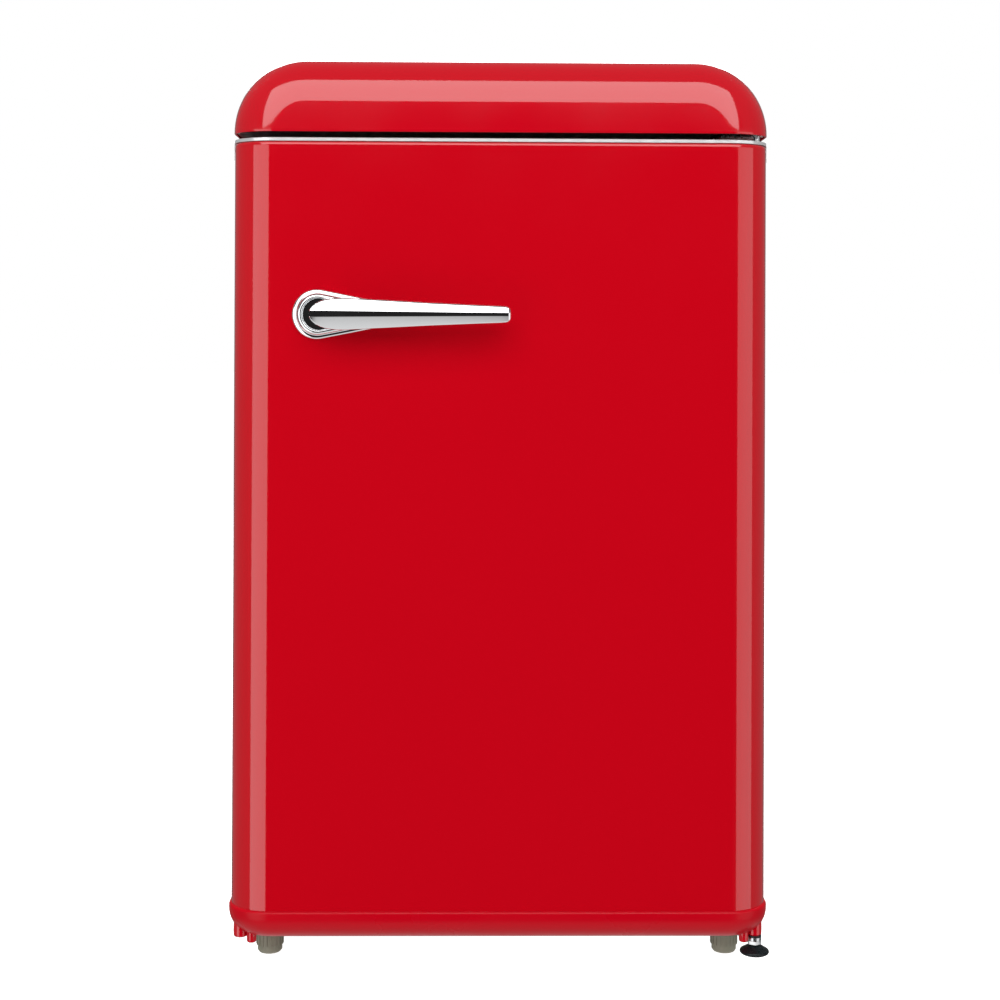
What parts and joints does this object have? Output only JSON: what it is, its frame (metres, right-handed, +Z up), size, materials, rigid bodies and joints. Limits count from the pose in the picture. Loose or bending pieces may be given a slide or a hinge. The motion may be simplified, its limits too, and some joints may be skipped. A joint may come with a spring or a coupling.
{
  "type": "mini fridge",
  "caption": "Compact upright refrigerator with a rounded top cap, a flat hinged door with rounded edges, a lever pull handle, shelves, a freezer box, a drawer and door bins.",
  "frame": {"origin": "on the floor, in the middle of the overall width and depth, handle and rear spacers included", "axes": "+Z up, +X to the right of someone facing the door, the door faces -Y; its hinges are on the +X side"},
  "size_m": [0.5364, 0.596, 0.903],
  "materials": {
    "red_paint": "gloss",
    "galvanised_sheet": "satin",
    "black_metal": "satin",
    "white_liner": "satin",
    "foam": "matte",
    "red_plastic": "gloss",
    "black_plastic": "satin",
    "zinc_steel": "satin",
    "black_rubber": "matte",
    "taupe_plastic": "satin",
    "bright_strip": "satin",
    "gasket_grey": "matte",
    "nylon": "satin",
    "chrome": "polished",
    "clear_plastic": "gloss",
    "evaporator_aluminium": "satin",
    "white_plastic": "satin",
    "blue_plastic": "satin",
    "lamp_glass": "gloss",
    "shelf_glass": "gloss",
    "copper": "satin"
  },
  "bodies": {
    "cabinet": {"cabinet_shell": "red_paint", "back_panel": "galvanised_sheet", "machine_panel": "galvanised_sheet", "base_pan": "galvanised_sheet", "compressor_tray": "black_metal", "inner_liner": "white_liner", "insulation_foam": "foam", "top_cap": "red_plastic", "cap_underplate": "black_plastic", "upper_hinge_bracket": "zinc_steel", "upper_hinge_pin": "zinc_steel", "lower_hinge_bracket": "zinc_steel", "lower_hinge_pin": "zinc_steel", "hinge_screws": "zinc_steel", "body_screws": "zinc_steel", "rear_feet": "black_plastic", "wall_spacers": "black_plastic", "freezer_box": "evaporator_aluminium", "thermostat_housing": "white_plastic", "lamp_bulb": "lamp_glass", "lamp_lens": "lamp_glass", "switch_body": "white_plastic", "glass_shelves": "shelf_glass", "crisper_cover": "shelf_glass", "shelf_trims": "bright_strip", "compressor": "black_metal", "compressor_grommets": "black_rubber", "compressor_bolts": "zinc_steel", "terminal_cover": "black_plastic", "condenser_coil": "black_metal", "condenser_wires": "black_metal", "condenser_brackets": "black_plastic", "filter_drier": "copper", "suction_line": "copper", "evaporating_pan": "white_plastic", "mains_gland": "black_rubber"},
    "door": {"door_panel": "red_paint", "door_top_cap": "black_plastic", "door_strip": "bright_strip", "door_bottom_cap": "red_plastic", "door_liner": "white_liner", "door_foam": "foam", "door_gasket": "gasket_grey", "upper_bush": "nylon", "lower_bush": "black_plastic", "handle_base": "chrome", "handle_lever": "chrome", "handle_screws": "zinc_steel"},
    "lower_bin": {"bin_lower": "clear_plastic"},
    "middle_bin": {"bin_middle": "clear_plastic"},
    "upper_bin": {"bin_upper": "clear_plastic"},
    "flap": {"freezer_flap": "clear_plastic"},
    "tray": {"drip_tray": "clear_plastic"},
    "knob": {"thermostat_knob": "blue_plastic"},
    "plunger": {"switch_plunger": "white_plastic"},
    "crisper": {"crisper_drawer": "clear_plastic"},
    "levelling_foot": {"levelling_stem": "zinc_steel", "levelling_pad": "black_rubber"},
    "foot_left": {"front_foot_left": "taupe_plastic"},
    "foot_right": {"front_foot_right": "taupe_plastic"}
  },
  "joints": [
    {"name": "door_hinge", "type": "hinge", "parent": "cabinet", "child": "door", "pos_m": [0.2545, -0.235, 0.4], "axis": [0, 0, 1], "range_deg": [0, 130]},
    {"name": "crisper_slide", "type": "slide", "parent": "cabinet", "child": "crisper", "axis": [0, -1, 0], "range_m": [0, 0.13]},
    {"name": "drip_tray_slide", "type": "slide", "parent": "cabinet", "child": "tray", "axis": [0, -1, 0], "range_m": [0, 0.13]},
    {"name": "light_switch_plunger", "type": "slide", "parent": "cabinet", "child": "plunger", "axis": [0, -1, 0], "range_m": [0, 0.007]},
    {"name": "freezer_flap_hinge", "type": "hinge", "parent": "cabinet", "child": "flap", "pos_m": [0, -0.0895, 0.762], "axis": [-1, 0, 0], "range_deg": [0, 60]},
    {"name": "thermostat_turn", "type": "hinge", "parent": "cabinet", "child": "knob", "pos_m": [0.204, -0.0725, 0.55667], "axis": [0, -1, 0], "range_deg": [0, 270]},
    {"name": "lower_bin_lift", "type": "slide", "parent": "door", "child": "lower_bin", "axis": [0, 0, 1], "range_m": [0, 0.02]},
    {"name": "middle_bin_lift", "type": "slide", "parent": "door", "child": "middle_bin", "axis": [0, 0, 1], "range_m": [0, 0.02]},
    {"name": "upper_bin_lift", "type": "slide", "parent": "door", "child": "upper_bin", "axis": [0, 0, 1], "range_m": [0, 0.02]},
    {"name": "foot_left_turn", "type": "hinge", "parent": "cabinet", "child": "foot_left", "pos_m": [-0.2325, -0.179, 0.02], "axis": [0, 0, 1], "continuous": true},
    {"name": "foot_right_turn", "type": "hinge", "parent": "cabinet", "child": "foot_right", "pos_m": [0.2325, -0.179, 0.02], "axis": [0, 0, 1], "continuous": true},
    {"name": "levelling_foot_travel", "type": "slide", "parent": "cabinet", "child": "levelling_foot", "axis": [0, 0, -1], "range_m": [0, 0.015]}
  ],
  "couplings": [
    {"joint": "crisper_slide", "follows": "door_hinge", "m_per_rad": 0.0572},
    {"joint": "drip_tray_slide", "follows": "door_hinge", "m_per_rad": 0.0572},
    {"joint": "light_switch_plunger", "follows": "door_hinge", "m_per_rad": 0.00308}
  ]
}
